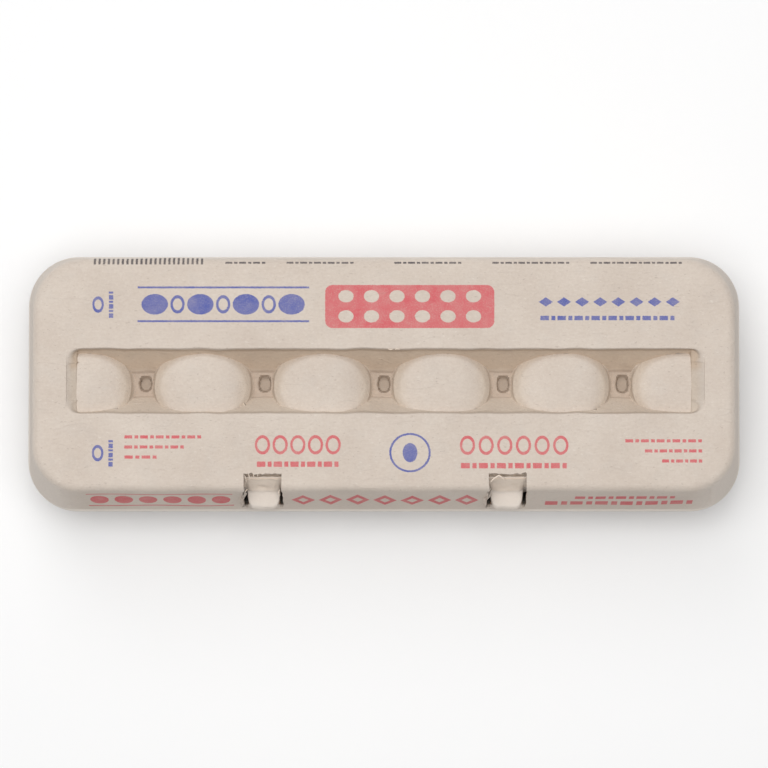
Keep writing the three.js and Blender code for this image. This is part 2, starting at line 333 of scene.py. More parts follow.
def thicken(piece, wall_mm):
    """Gives a sheet its pulp wall, growing inward from the outer face. Its sharper edges stay crisp."""
    wall = piece.modifiers.new("wall", "SOLIDIFY")
    wall.thickness = wall_mm * MM
    wall.offset = -1
    wall.use_even_offset = False
    bpy.context.view_layer.objects.active = piece
    bpy.ops.object.modifier_apply(modifier=wall.name)
    piece.data.set_sharp_from_angle(angle=math.radians(SHARP_ANGLE))


def blended_min(a, b, blend):
    """The smaller of two heights, rounded over where they come within `blend` of each other."""
    near = np.clip(blend - np.abs(a - b), 0, None) / blend
    return np.minimum(a, b) - near ** 2 * blend / 4


def blended_max(a, b, blend):
    """The larger of two heights, rounded where they meet."""
    return -blended_min(-a, -b, blend)


def window(value, edge, soft):
    """1 where `value` is below `edge`, falling smoothly to 0 over `soft`."""
    share = np.clip((edge - value) / soft + 0.5, 0, 1)
    return share * share * (3 - 2 * share)


def ripple(x, y, wavelength, seed, waves=9):
    """Gentle unevenness between about -1 and 1: a sum of sine waves in random directions."""
    draw = np.random.default_rng(seed)
    angles = draw.uniform(0, math.pi, waves)
    phases = draw.uniform(0, 2 * math.pi, waves)
    stretches = draw.uniform(0.6, 1.6, waves)
    total = 0
    for angle, phase, stretch in zip(angles, phases, stretches):
        along = x * math.cos(angle) + y * math.sin(angle)
        total = total + np.sin(2 * math.pi * along / (wavelength * stretch) + phase)
    return total / math.sqrt(waves)


def nearest(values, centres):
    """The distance from each value to the centre nearest to it."""
    return np.min(np.abs(np.asarray(values)[..., None] - centres), axis=-1)


def lid_columns():
    """Columns fine over the wells' floors and the locks' edges, coarse between them."""
    half = [6.5, LOCK_X - LOCK_HALF - 1.5, LOCK_X - LOCK_HALF, LOCK_X + LOCK_HALF,
            LOCK_X + LOCK_HALF + 1.5, 91.5, 104.5, FREE, STRAIGHT]
    sizes = [1.5, 0.5, 0.51, 0.5, 1.5, 0.5, 1.5, 1.2]
    breaks = np.concatenate([[-b for b in reversed(half)], half])
    along = stepped(breaks, [*reversed(sizes), 0.5, *sizes])
    return round_columns(along, 30, 32)


def top_rounding(height, radius=TOP_EDGE_RADIUS):
    """How far the rounded top edge draws a wall in: a quarter circle over its radius."""
    into = np.clip(1 + (height - LID_RISE) / radius, 0, 1)
    return radius * (1 - np.sqrt(1 - into ** 2))


def wall_inset(lean, height, radius=TOP_EDGE_RADIUS, lip_width=LIP_WIDTH):
    """How far a lid wall stands in from the rim: the lip, its lean, then the rounded edge."""
    straight = lean - lip_width - radius
    return lip_width + straight * height / LID_RISE + top_rounding(height, radius)


def oval(x, y, half_x, half_y, power):
    """Below 1 inside an oval and above it outside: (|x / a|^p + |y / b|^p)^(1/p)."""
    return (np.abs(x / half_x) ** power + np.abs(y / half_y) ** power) ** (1 / power)


def well_relief(x, y):
    """Depth of the oval pocket in the floor of each well, and of the crease round the floor."""
    from_gap = nearest(x, GAP_X)
    middle = (BACK_FOOT_Y - FRONT_FOOT_Y) / 2
    square = np.maximum(from_gap, np.abs(y - middle))
    crease = WELL_CREASE_DEPTH * np.exp(-((square - WELL_HALF) / WELL_CREASE_WIDTH) ** 2)
    pocket = oval(from_gap, y - middle - 0.2, POCKET_HALF_X, POCKET_HALF_Y, POCKET_POWER)
    return crease + POCKET_DEPTH * window(pocket, 1.0, POCKET_EDGE)


def side_wall_height(x, y, side):
    """Height of the trough's front and back walls, `side` in from them: a step, then an incline."""
    foot = np.where(y > 0, BACK_FOOT_Y, FRONT_FOOT_Y)
    incline = (HEIGHT - STEP_DEPTH - TROUGH_FLOOR) / (TROUGH_HALF_Y - STEP_WIDTH - foot)
    step = side * STEP_DEPTH / STEP_WIDTH
    fall = blended_min(step, STEP_DEPTH + (side - STEP_WIDTH) * incline, 1.0)
    return blended_min(HEIGHT - fall, HEIGHT + 0 * x, 2.6)


def end_ramp_slope(x):
    """Fall per millimetre of the ramp in the trough's left or right end wall."""
    end_width = np.where(x > 0, END_WIDTH_RIGHT, END_WIDTH_LEFT)
    return (HEIGHT - END_EDGE - END_FOOT_Z) / (end_width - END_EDGE_WIDTH)


def end_wall_height(x, end):
    """Height of the trough's end walls, `end` in from them: a small edge, a ramp, a steep fall."""
    end_width = np.where(x > 0, END_WIDTH_RIGHT, END_WIDTH_LEFT)
    edge = HEIGHT - end * END_EDGE / END_EDGE_WIDTH
    ramp = HEIGHT - END_EDGE - (end - END_EDGE_WIDTH) * end_ramp_slope(x)
    steep = END_FOOT_Z - (end - end_width) / END_STEEP
    return np.minimum(np.minimum(np.maximum(edge, ramp), steep), HEIGHT)


def trough_corner_height(x, side, end):
    """Height of the trough's round corners, which turn from the end's slope into the side's step."""
    beyond_side = np.clip(TROUGH_CORNER - side, 0, None)
    beyond_end = np.clip(TROUGH_CORNER - end, 0, None)
    turn = np.arctan2(beyond_side, beyond_end) / (math.pi / 2)
    end_slope = end_ramp_slope(x)
    steepness = end_slope + (STEP_DEPTH / STEP_WIDTH - end_slope) * turn ** 3
    round_off = TROUGH_CORNER - np.hypot(beyond_side, beyond_end)
    fall = blended_min(HEIGHT - round_off * steepness, HEIGHT + 0 * x, 1.2)
    return np.where((beyond_side > 0) & (beyond_end > 0), fall, 0)


def trough_height(x, y):
    """Height of the trough alone: the highest of its side walls, end walls, round corners and floor."""
    side = TROUGH_HALF_Y - np.abs(y)
    end = TROUGH_HALF_X - np.abs(x - TROUGH_SHIFT_X)
    walls = blended_max(side_wall_height(x, y, side), end_wall_height(x, end), 0.8)
    walls = np.maximum(walls, trough_corner_height(x, side, end))
    return blended_max(walls, TROUGH_FLOOR - well_relief(x, y), 0.8)


def lid_top(x, y):
    """Height of the lid's top: flat, with the trough let in."""
    mouth = (np.abs(x - TROUGH_SHIFT_X) < TROUGH_HALF_X + 2) & (np.abs(y) < TROUGH_HALF_Y + 2)
    return np.where(mouth, np.minimum(trough_height(x, y), HEIGHT), HEIGHT)


def lid_rings(columns):
    """Points of the lid's outer face, ring by ring: lip, walls, rounded edge, flat top, trough."""
    lip_z = RIM_Z + np.array([0.75, 1.35, 1.85, 2.2])
    lip_in = LIP_SETBACK + np.array([0.0, 0.0, 0.15, 0.45])
    lip_corner = CORNER_RADIUS - LIP_SETBACK + np.array([0.0, 0.0, -0.4, -1.2])
    lip = outline(columns, LENGTH / 2 - lip_in, WIDTH / 2 - lip_in, WIDTH / 2 - lip_in, lip_corner)

    up_wall = np.linspace(11.5, LID_RISE - TOP_EDGE_RADIUS, 7)
    edge = LID_RISE - TOP_EDGE_RADIUS * (1 - np.sin(np.radians([16, 32, 48, 63, 77, 90])))
    heights = np.concatenate([[3.0, 4.4, 6.4, LOCK_SILL], up_wall, edge])
    lid_half_x = LENGTH / 2 - wall_inset(END_LEAN, heights)
    lid_front = WIDTH / 2 - wall_inset(FRONT_LEAN, heights, FRONT_EDGE_RADIUS, FRONT_LIP_WIDTH)
    lid_back = WIDTH / 2 - wall_inset(BACK_LEAN, heights)
    rise = heights / LID_RISE
    front_corner = LIP_CORNER + (TOP_FRONT_CORNER - LIP_CORNER) * rise - top_rounding(heights)
    back_corner = LIP_CORNER + (TOP_BACK_CORNER - LIP_CORNER) * rise - top_rounding(heights)
    walls = outline(columns, lid_half_x, lid_front, lid_back, front_corner, back_corner)

    lock_share = (lid_front[-1] - LOCK_TOP_Y) / (lid_front[-1] - TROUGH_HALF_Y)
    share = np.array([lock_share / 3, lock_share * 2 / 3, lock_share, 0.25, 0.42, 0.6, 0.78, 0.92])

    def across(start, end):
        return start + (end - start) * share

    flat = outline(columns, across(lid_half_x[-1], TROUGH_HALF_X), across(lid_front[-1], TROUGH_HALF_Y),
                   across(lid_back[-1], TROUGH_HALF_Y),
                   across(front_corner[-1], TROUGH_CORNER), across(back_corner[-1], TROUGH_CORNER))

    inward = np.concatenate([np.linspace(-0.9, 1.3, 12), np.linspace(1.8, 10.2, 18),
                             np.linspace(10.9, TROUGH_HALF_Y, 4)])
    left = TROUGH_HALF_Y - inward
    hollow = outline(columns, TROUGH_HALF_X - 0.6 * inward, left, left,
                     TROUGH_CORNER * np.clip(left / TROUGH_HALF_Y, 0, 1))
    at_ends = TROUGH_SHIFT_X * (np.abs(columns.x) > FREE)
    flat_x = np.vstack([flat[0] + share[:, None] * at_ends, hollow[0] + at_ends])
    flat_y = np.vstack([flat[1], hollow[1]])
    x = np.vstack([lip[0], walls[0], flat_x])
    y = np.vstack([lip[1], walls[1], flat_y])
    side_z = np.concatenate([lip_z, RIM_Z + heights])[:, None] + 0 * x[: len(lip_z) + len(heights)]
    z = np.vstack([side_z, lid_top(flat_x, flat_y)])
    sill_ring = len(lip_z) + 3
    lock_ring = len(lip_z) + len(heights) + 2
    return x, y, z, sill_ring, lock_ring


def lock_cells(x, y, sill_ring, lock_ring):
    """True for the cells of the grid that each lock's opening takes out of the lid's front."""
    middle = (x + np.roll(x, -1, axis=1)) / 2
    from_middle = np.abs(np.abs(middle) - LOCK_X)
    rows = np.arange(len(x))[:, None]
    lowest = np.where(from_middle < KNOB_HALF - 0.3, sill_ring, sill_ring - 2)
    return ((from_middle < LOCK_HALF) & (y < 0) & (rows >= lowest) & (rows < lock_ring))[:-1]


def dome_cells(x, y):
    """True for the cells of the grid that lie under a dome, well inside its foot."""
    middle_x = (x + np.roll(x, -1, axis=1))[:-1] / 2
    middle_y = (y[:-1] + y[1:]) / 2
    from_dome_x = nearest(middle_x, CUP_X)
    from_dome_y = middle_y - FOOT_MIDDLE_Y
    under = oval(from_dome_x, from_dome_y, FOOT_HALF_X, FOOT_HALF_Y, FOOT_POWER) < 0.9
    inside = (np.abs(middle_y) < TROUGH_HALF_Y - 1.6) & (np.abs(middle_x) < TROUGH_HALF_X - 6)
    return under & inside


def uneven_lid(x, y, z):
    """The lid's points moved a little: a wavy top and walls, rough trough edges, and corner creases."""
    z = z + 0.16 * ripple(x, y, 62, 1) * window(-z, -RIM_Z - 6, 4)
    in_trough = window(z, HEIGHT - 1.5, 1) * (np.abs(y) < TROUGH_HALF_Y)
    z = z + in_trough * 0.12 * ripple(x, y, 7, 2)
    y = y + 0.16 * ripple(x, 0 * x, 13, 9) * window(np.abs(y), TROUGH_HALF_Y + 2.5, 3)
    on_walls = window(-z, -RIM_Z - 5, 6) * window(z, HEIGHT - 1, 3)
    swell = 0.22 * ripple(x + y, z * 1.4, 48, 3) * on_walls
    outside = np.hypot(x / LENGTH, y / WIDTH) > 0.25
    y = y + swell * np.sign(y) * outside
    y = y + corner_creases(x, z) * (y < -40)
    return x, y, z


def corner_creases(x, z):
    """Depth of the upright dents: a bell curve across each, fading towards the wall's top and foot."""
    depth = 0
    for place, size in CORNER_CREASES:
        across = (x - place + CREASE_SLANT * (z - 50)) / CREASE_WIDTH
        depth = depth + size * np.exp(-across ** 2)
    return depth * window(z, 61, 6) * window(-z, -RIM_Z - 4, 3)


def torn_openings(x, y, z, lock_ring):
    """The lid's points with each lock opening roughly torn: wider low down, and ragged along its top."""
    edge_x = np.abs(np.abs(np.abs(x) - LOCK_X) - LOCK_HALF) < 0.05
    at_lock = edge_x & (y < 0) & (np.abs(z - 56) < 12.5)
    x = x + at_lock * 0.2 * ripple(z, x, 3.2, 4)
    side = np.sign(np.abs(x) - LOCK_X) * np.sign(x)
    wider = np.where(side < 0, SLOT_WIDER_LEFT, SLOT_WIDER_RIGHT)
    x = x + at_lock * side * wider * window(z, 64.5, 3)
    top_row = np.zeros_like(x, bool)
    top_row[lock_ring] = True
    from_lock = np.abs(x) - LOCK_X
    over_lock = np.abs(from_lock) < LOCK_HALF - 0.3
    arch = np.cos(from_lock / LOCK_HALF * math.pi / 2)
    torn = 0.3 * ripple(x, 0 * x, 2.3, 5) - 0.35 * arch
    y = y + (top_row & over_lock & (y < 0)) * torn
    x = x + LOCK_SHIFT * window(np.abs(from_lock), 12, 5) * (y < -30)
    return x, y


def make_lid():
    """The lid: one sheet with its openings left out, slightly uneven, thickened inward."""
    x, y, z, sill_ring, lock_ring = lid_rings(lid_columns())
    openings = lock_cells(x, y, sill_ring, lock_ring) | dome_cells(x, y)
    x, y, z = uneven_lid(x, y, z)
    x, y = torn_openings(x, y, z, lock_ring)
    points = np.stack([x, y, z], axis=-1).reshape(-1, 3)
    piece = mesh_piece("lid", points, grid_faces(*x.shape, keep=~openings), weld=0.02)
    thicken(piece, PULP_WALL)
    return piece


def oval_points(turn, half_x, half_y, power):
    """Points of an oval at the angles `turn`: half sizes times cos and sin, each to the power 2 / p."""
    cos = np.cos(turn)
    sin = np.sin(turn)
    bend = 2 / power
    return half_x * np.sign(cos) * np.abs(cos) ** bend, half_y * np.sign(sin) * np.abs(sin) ** bend


def dome_grid(turn):
    """Rings of a dome about its own centre: X, Y and height, with the crest at 0.

    They go from the centre to the crest oval, then on to the foot oval. The height falls by the arch,
    distance squared over twice its radius along X and Y, with a further fall to the right. Past the
    crest oval it also falls by the bevel: its slope times the way out, steeper at the back."""
    crest_x, crest_y = oval_points(turn, CREST_HALF_X, CREST_HALF_Y, 2.0)
    foot_x, foot_y = oval_points(turn, FOOT_HALF_X, FOOT_HALF_Y, FOOT_POWER)
    to_foot_x = foot_x + FOOT_SHIFT_X - crest_x - CREST_SHIFT_X
    to_foot_y = foot_y + FOOT_MIDDLE_Y - crest_y - CREST_MIDDLE_Y
    inner = np.concatenate([np.linspace(0, 0.9, 12), [0.96]])[:, None]
    outer = np.linspace(0, 1, 8)[:, None]
    x = CREST_SHIFT_X + np.vstack([inner * crest_x, crest_x + outer * to_foot_x])
    y = CREST_MIDDLE_Y + np.vstack([inner * crest_y, crest_y + outer * to_foot_y])
    beyond = np.clip(np.vstack([inner - 1, outer]), 0, None)
    arch = x ** 2 / (2 * ARCH_RADIUS_X) + (y - CREST_MIDDLE_Y) ** 2 / (2 * ARCH_RADIUS_Y)
    arch = arch + RIGHT_FALL * np.clip(x - RIGHT_FALL_FROM, 0, None) ** 2
    slope = (BEVEL_SLOPE + BEVEL_SLOPE_FALL * np.sin(turn)) * np.hypot(to_foot_x, to_foot_y)
    bevel = slope * (np.hypot(beyond, BEVEL_ROUNDING) - BEVEL_ROUNDING)
    return x, y, -arch - bevel


def make_domes():
    """Six domes, each of rings from its centre out, with a skirt that flares down into the trough."""
    turn = np.linspace(0, 2 * math.pi, 121)[:-1]
    local_x, local_y, fall = dome_grid(turn)
    skirt = np.array([0.2, 0.5, 0.8, 1.0])[:, None]
    points = []
    faces = []
    start = 0
    for number, centre in enumerate(CUP_X):
        x = local_x + centre
        y = local_y
        dents = 0.1 * ripple(x, y, 19, 20 + number) + 0.05 * ripple(x, y, 5, 30 + number)
        z = DOME_CREST + fall + dents
        low_x = x[-1] + SKIRT_FLARE * np.cos(turn)
        low_y = y[-1] + 0.5 * np.sin(turn)
        depth = trough_height(low_x, low_y) - 1.0 - z[-1]
        x = np.vstack([x, x[-1] + skirt ** 2 * (low_x - x[-1])])
        y = np.vstack([y, y[-1] + skirt ** 2 * (low_y - y[-1])])
        z = np.vstack([z, z[-1] + skirt * np.minimum(depth, -1.0)])
        x = np.clip(x, -TROUGH_HALF_X - 1.5, TROUGH_HALF_X + 1.5)
        points.append(np.stack([x, y, z], axis=-1).reshape(-1, 3))
        faces.append(grid_faces(*x.shape)[:, ::-1] + start)
        start += x.size
    piece = mesh_piece("domes", np.vstack(points), np.vstack(faces), weld=0.02)
    thicken(piece, THIN_WALL)
    return piece


def tray_height(x, y, inset):
    """Height of the tray's underside: cups, joined by webs, inside the outer wall, with hollow posts.

    At height z a cup is half = foot + spread * (1 - (1 - z / rim)^curve) wide. Its height is the inverse
    of that, read off the rounded square distance from its centre."""
    from_x = nearest(x, CUP_X)
    from_y = np.abs(np.abs(y) - ROW_Y)
    half = (from_x ** CUP_POWER + from_y ** CUP_POWER) ** (1 / CUP_POWER)
    spread = np.clip((half - CUP_FOOT_HALF) / CUP_SPREAD, 0, 0.98)
    cups = RIM_Z * (1 - (1 - spread) ** (1 / CUP_CURVE))
    dish = CUP_DISH * window(half, 6.0, 5.0)
    webs = blended_min(cups, WEB_Z + 0 * x, 3.0)
    wall = (RIM_Z - 1) * (1 - (inset - TRAY_WALL_TOP) / TRAY_WALL_LEAN)
    body = blended_max(webs, wall, 2.4)
    from_post = np.hypot(nearest(x, GAP_X), y)
    post = np.minimum(POST_TOP - POST_SLOPE * np.clip(from_post - POST_RADIUS, 0, None), POST_TOP)
    off_foot = window(-half, -9.5, 3.0)
    return blended_max(body, post, 2.0) * off_foot + body * (1 - off_foot) + dish


def make_tray():
    """The tray: rim, outer wall and cups as one sheet, thickened upward."""
    along = stepped(np.array([-STRAIGHT, STRAIGHT]), [1.35])
    columns = round_columns(along, 40, 18)
    rim_in = np.array([1.6, 0.5, 0.12, 0.0, 0.3, 1.4])
    rim_z = np.array([36.6, 36.5, 36.1, 35.3, 34.4, 33.8])
    wall_in = np.concatenate([np.linspace(2.6, 11.5, 22), np.linspace(12.6, WIDTH / 2, 36)])
    inset = np.concatenate([rim_in, wall_in])
    left = WIDTH / 2 - inset
    radius = np.clip(CORNER_RADIUS - inset * TRAY_CORNER_SHARE, 0, left)
    half_x = LENGTH / 2 - inset * (1 - TRAY_SPINE_SHARE * inset / WIDTH)
    x, y = outline(columns, half_x, left, left, radius)
    z = tray_height(x, y, inset[:, None] + 0 * x)
    z[: len(rim_z)] = rim_z[:, None]
    z = z + 0.12 * ripple(x, y, 17, 6) * window(-z, -2.0, 2) * window(z, 32, 2)
    points = np.stack([x, y, z], axis=-1).reshape(-1, 3)
    faces = grid_faces(*x.shape)[:, ::-1]
    piece = mesh_piece("tray", points, faces, weld=0.02)
    thicken(piece, PULP_WALL)
    return piece


def even_line(corners, count):
    """`count` points spread evenly over the stretches between the corners, a row for each coordinate."""
    places = np.linspace(0, len(corners) - 1, count)
    known = np.arange(len(corners))
    return np.stack([np.interp(places, known, values) for values in np.array(corners).T])


def smooth_line(corners, steps, softness):
    """A line through the corners, `steps` points to each stretch, rounded by a running average."""
    line = even_line(corners, steps * (len(corners) - 1) + 1)
    kernel = np.hanning(2 * softness + 3)[1:-1]
    padded = np.pad(line, ((0, 0), (softness, softness)), mode="reflect", reflect_type="odd")
    return np.stack([np.convolve(values, kernel / kernel.sum(), "valid") for values in padded])


def make_lock(name, centre_x, seed, dent):
    """A piece of the tray's flap behind one opening, with the knob that hooks over the sill.

    The surface is the plain flap's side view carried across, and swells to the knob's side view by
    sqrt(1 - |x / half|^6)."""
    knob, flap, z = (values[:, None] for values in smooth_line(LOCK_SIDE, 8, 2))
    across = np.linspace(-FLAP_HALF, FLAP_HALF, 89)
    swell = np.sqrt(np.clip(1 - np.abs(across / KNOB_HALF) ** 6, 0, 1))
    y = -(flap + swell * (knob - flap))
    x = centre_x + across + 0 * y
    z = z + 0 * y
    y = y - 0.12 * ripple(x, z, 5, seed)
    dent_place = np.hypot((across + 0.8) / 2.4, (z - 54.0) / 2.6)
    y = y + dent * window(dent_place, 0.7, 0.9)
    points = np.stack([x, y, z], axis=-1).reshape(-1, 3)
    piece = mesh_piece(name, points, grid_faces(*x.shape, closed=False))
    thicken(piece, FLAP_WALL)
    return piece


def make_fibres():
    """Thin round tubes along smooth lines, drawn to a point at both ends by sqrt(1 - |2t - 1|^3)."""
    along = np.linspace(0, 1, 17)
    around = np.linspace(0, 2 * math.pi, 9)[:-1]
    points = []
    faces = []
    start = 0
    for radius, corners in FIBRES:
        line = even_line(corners, len(along))
        line[:, 1:-1] = (line[:, :-2] + 2 * line[:, 1:-1] + line[:, 2:]) / 4
        heading = np.gradient(line[:2], axis=1)
        heading = heading / np.hypot(*heading)
        thin = radius * np.sqrt(1 - np.abs(2 * along - 1) ** 3)[:, None]
        out = thin * np.cos(around)
        x = line[0][:, None] - heading[1][:, None] * out
        y = line[1][:, None] + heading[0][:, None] * out
        z = line[2][:, None] + thin * np.sin(around)
        points.append(np.stack([x, y, z], axis=-1).reshape(-1, 3))
        faces.append(grid_faces(*x.shape) + start)
        start += x.size
    return mesh_piece("torn_fibres", np.vstack(points), np.vstack(faces), weld=0.005)


def make_hinge():
    """The folded strip that joins lid and tray along the back, with a crease along its middle."""
    along = np.linspace(-STRAIGHT, STRAIGHT, 200)
    up = np.linspace(-1, 1, 15)
    fade = window(np.abs(along), STRAIGHT - 6, 10)
    out = HINGE_BULGE * (1 - np.exp(-(up / HINGE_CREASE) ** 2)) * (1 - 0.55 * np.abs(up) ** 3)
    y = WIDTH / 2 - HINGE_SETBACK + out[:, None] * fade + 0.12 * ripple(along, 0 * along, 9, 8)
    x = along + 0 * y
    z = RIM_Z + HINGE_HALF_HEIGHT * up[:, None] + 0 * y
    points = np.stack([x, y, z], axis=-1).reshape(-1, 3)
    piece = mesh_piece("hinge", points, grid_faces(*x.shape, closed=False)[:, ::-1])
    thicken(piece, THIN_WALL)
    return piece


def make_floor():
    """A plain pale floor, wide enough to fill the view."""
    half = 3000.0
    corners = np.array([[-half, -half, 0], [half, -half, 0], [half, half, 0], [-half, half, 0]])
    return mesh_piece("floor", corners, np.array([[0, 1, 2, 3]]))


class Field:
    """A number that varies over a surface: one output of a node tree, with ordinary arithmetic."""

    def __init__(self, tree, socket):
        self.tree = tree
        self.socket = socket

    def made(self, operation, *others, clamp=False):
        """The outcome of one math node fed with this field and others or plain numbers."""
        node = self.tree.nodes.new("ShaderNodeMath")
        node.operation = operation
        node.use_clamp = clamp
        for entry, value in zip(node.inputs, (self, *others)):
            if isinstance(value, Field):
                self.tree.links.new(value.socket, entry)
            else:
                entry.default_value = value
        return Field(self.tree, node.outputs[0])

    def __add__(self, other):
        return self.made("ADD", other)

    def __sub__(self, other):
        return self.made("SUBTRACT", other)

    def __mul__(self, other):
        return self.made("MULTIPLY", other)

    def __truediv__(self, other):
        return self.made("DIVIDE", other)

    def __abs__(self):
        return self.made("ABSOLUTE")

    def larger(self, other):
        return self.made("MAXIMUM", other)

    def smaller(self, other):
        return self.made("MINIMUM", other)

    def inked(self, blur=0.14):
        """1 where a signed distance in millimetres is negative, 0 outside, with a thin soft edge."""
        return (self / -blur + 0.5).made("ADD", 0.0, clamp=True)


def box_mark(x, y, left, right, low, high):
    """Signed distance to a rectangle."""
    across = abs(x - (left + right) / 2) - (right - left) / 2
    up = abs(y - (low + high) / 2) - (high - low) / 2
    return across.larger(up)


def rounded_box_mark(x, y, left, right, low, high, radius):
    """Signed distance to a rectangle with round corners."""
    across = abs(x - (left + right) / 2) - ((right - left) / 2 - radius)
    up = abs(y - (low + high) / 2) - ((high - low) / 2 - radius)
    past_x = across.larger(0)
    past_y = up.larger(0)
    return (past_x * past_x + past_y * past_y).made("SQRT") + across.larger(up).smaller(0) - radius


def oval_mark(x, y, centre_x, centre_y, half_x, half_y):
    """Roughly the signed distance to an oval."""
    across = (x - centre_x) / half_x
    up = (y - centre_y) / half_y
    return ((across * across + up * up).made("SQRT") - 1) * min(half_x, half_y)


def line_mark(distance, half_width):
    """Signed distance to a line drawn along the edge of another mark."""
    return abs(distance) - half_width


def repeated(x, first, pitch, count):
    """X measured from the nearest of `count` places, evenly spaced from `first`."""
    place = ((x - first) / pitch).made("ROUND").larger(0).smaller(count - 1)
    return x - first - place * pitch


def dashes(x, y, left, right, low, high, pitch):
    """A run of long and short bars by turns between two ends, with the pitch trimmed to whole pairs."""
    run = box_mark(x, y, left, right, low, high)
    pitch = (right - left) / round((right - left) / pitch)
    place = (x - left).made("WRAP", pitch, 0.0)
    long_bar = abs(place - pitch * 0.29) - pitch * 0.25
    short_bar = abs(place - pitch * 0.8) - pitch * 0.12
    return run.larger(long_bar.smaller(short_bar))


def joined(marks):
    """The nearest of several marks."""
    nearest_mark = marks[0]
    for mark in marks[1:]:
        nearest_mark = nearest_mark.smaller(mark)
    return nearest_mark


def egg_row(x, y, first, pitch, count, middle, half_x, half_y):
    """A row of ovals."""
    return oval_mark(repeated(x, first, pitch, count), y, 0, middle, half_x, half_y)


def lozenge_row(x, y, first, pitch, count, middle, half_x, half_y):
    """A row of diamonds."""
    across = abs(repeated(x, first, pitch, count)) / half_x
    up = abs(y - middle) / half_y
    return (across + up - 1) * min(half_x, half_y)


def red_marks(x, y):
    """Red print on the lid's top: a field with twelve bare eggs, ringed eggs over bars, fine rows."""
    field = rounded_box_mark(x, y, -24, 45, 21.6, 39.2, 3.0)
    bare_eggs = joined([egg_row(x, y, -15.5, 10.4, 6, middle, 3.1, 2.5) for middle in (34.6, 26.4)])
    left_eggs = line_mark(egg_row(x, y, -49.5, 7.2, 5, -26.0, 2.6, 3.3), 0.5)
    right_eggs = line_mark(egg_row(x, y, 34.0, 7.6, 6, -26.2, 2.6, 3.3), 0.5)
    bars = [dashes(x, y, -52, -18, -35.0, -32.8, 7.4), dashes(x, y, 31, 75, -35.6, -33.4, 7.4)]
    row_places = [(-106, -74, -22.8), (-106, -81, -26.9), (-106, -92, -31.0),
                  (98, 130, -24.4), (106, 130, -28.5), (113, 130, -32.6)]
    rows = [dashes(x, y, left, right, middle - 0.65, middle + 0.65, 6.6)
            for left, right, middle in row_places]
    return joined([field.larger(bare_eggs * -1), left_eggs, right_eggs, *bars, *rows])


def blue_marks(x, y):
    """Blue print on the lid's top: eggs between two lines, lozenges over bars, a ringed egg."""
    lines = line_mark(abs(y - 31.3) - 6.9, 0.4).larger(abs(x + 65.5) - 35)
    full_eggs = egg_row(x, y, -93.5, 18.6, 4, 31.3, 5.4, 4.2)
    open_eggs = line_mark(egg_row(x, y, -84.2, 18.6, 3, 31.3, 2.4, 3.1), 0.5)
    lozenges = lozenge_row(x, y, 66, 7.4, 8, 32.3, 2.9, 1.9)
    bars = dashes(x, y, 63.5, 119, 24.8, 26.6, 7.4)
    ring = line_mark(oval_mark(x, y, 10.6, -29.2, 8.0, 7.6), 0.4)
    ring_egg = oval_mark(x, y, 10.6, -29.2, 3.0, 3.9)
    end_rows = [dashes(y, x, low, low + 11.2, -112.2, -110.4, 4.2) for low in (25.6, -35.0)]
    end_eggs = [line_mark(oval_mark(x, y, -116.6, middle, 1.9, 2.7), 0.45) for middle in (31.2, -29.4)]
    eggs = [full_eggs, open_eggs, ring, ring_egg, *end_eggs]
    return joined([lines, lozenges, bars, *eggs, *end_rows])


def wall_marks(x, z):
    """Red print on the lid's front wall: eggs between two lines, lozenges, two rows of bars."""
    lines = line_mark(abs(z - 52.5) - 8.6, 0.55).larger(abs(x + 92) - 30)
    full_eggs = egg_row(x, z, -117, 10.0, 6, 52.5, 3.8, 5.6)
    lozenges = lozenge_row(x, z, -33.2, 11.2, 7, 52.5, 4.9, 7.5)
    bare_middles = lozenge_row(x, z, -33.2, 11.2, 7, 52.5, 2.2, 3.3)
    bars = [dashes(x, z, 66, 128, 45.5, 51.0, 10.4), dashes(x, z, 78, 120, 54.5, 58.5, 8.2)]
    return joined([lines, full_eggs, lozenges.larger(bare_middles * -1), *bars])


def grey_marks(x, y):
    """Dark print along the back edge: even bars and fine rows."""
    bars = box_mark(repeated(x, -118, 1.9, 24), y, -0.45, 0.45, 47.6, 60.0)
    row_ends = [(-65, -48), (-40, -12), (4, 32), (44, 76), (84, 122)]
    rows = [dashes(x, y, left, right, 47.9, 48.7, 5.2) for left, right in row_ends]
    return joined([bars, *rows])


def layered(tree, base, colour, amount, way="MIX"):
    """A colour laid over another, or multiplied with it, by an amount from 0 to 1."""
    mix = tree.nodes.new("ShaderNodeMix")
    mix.data_type = "RGBA"
    mix.blend_type = way
    under, over = (entry for entry in mix.inputs if entry.type == "RGBA")
    over.default_value = (*colour, 1)
    tree.links.new(base, under)
    tree.links.new(amount.socket, mix.inputs["Factor"])
    return next(entry for entry in mix.outputs if entry.type == "RGBA")


def noise(tree, place, scale, detail=2.0, roughness=0.5, stretch=(1, 1, 1)):
    """A noise texture over the object's own coordinates, with `scale` in waves per metre."""
    spread = tree.nodes.new("ShaderNodeVectorMath")
    spread.operation = "MULTIPLY"
    spread.inputs[1].default_value = stretch
    tree.links.new(place, spread.inputs[0])
    texture = tree.nodes.new("ShaderNodeTexNoise")
    texture.inputs["Scale"].default_value = scale
    texture.inputs["Detail"].default_value = detail
    texture.inputs["Roughness"].default_value = roughness
    tree.links.new(spread.outputs[0], texture.inputs["Vector"])
    return Field(tree, texture.outputs["Fac"])


def colour_ramp(tree, field, stops):
    """A colour that follows a field through the given (place, colour) stops."""
    ramp = tree.nodes.new("ShaderNodeValToRGB")
    for element, (place, colour) in zip(ramp.color_ramp.elements, stops):
        element.position = place
        element.color = (*colour, 1)
    tree.links.new(field.socket, ramp.inputs["Fac"])
    return ramp.outputs["Color"]


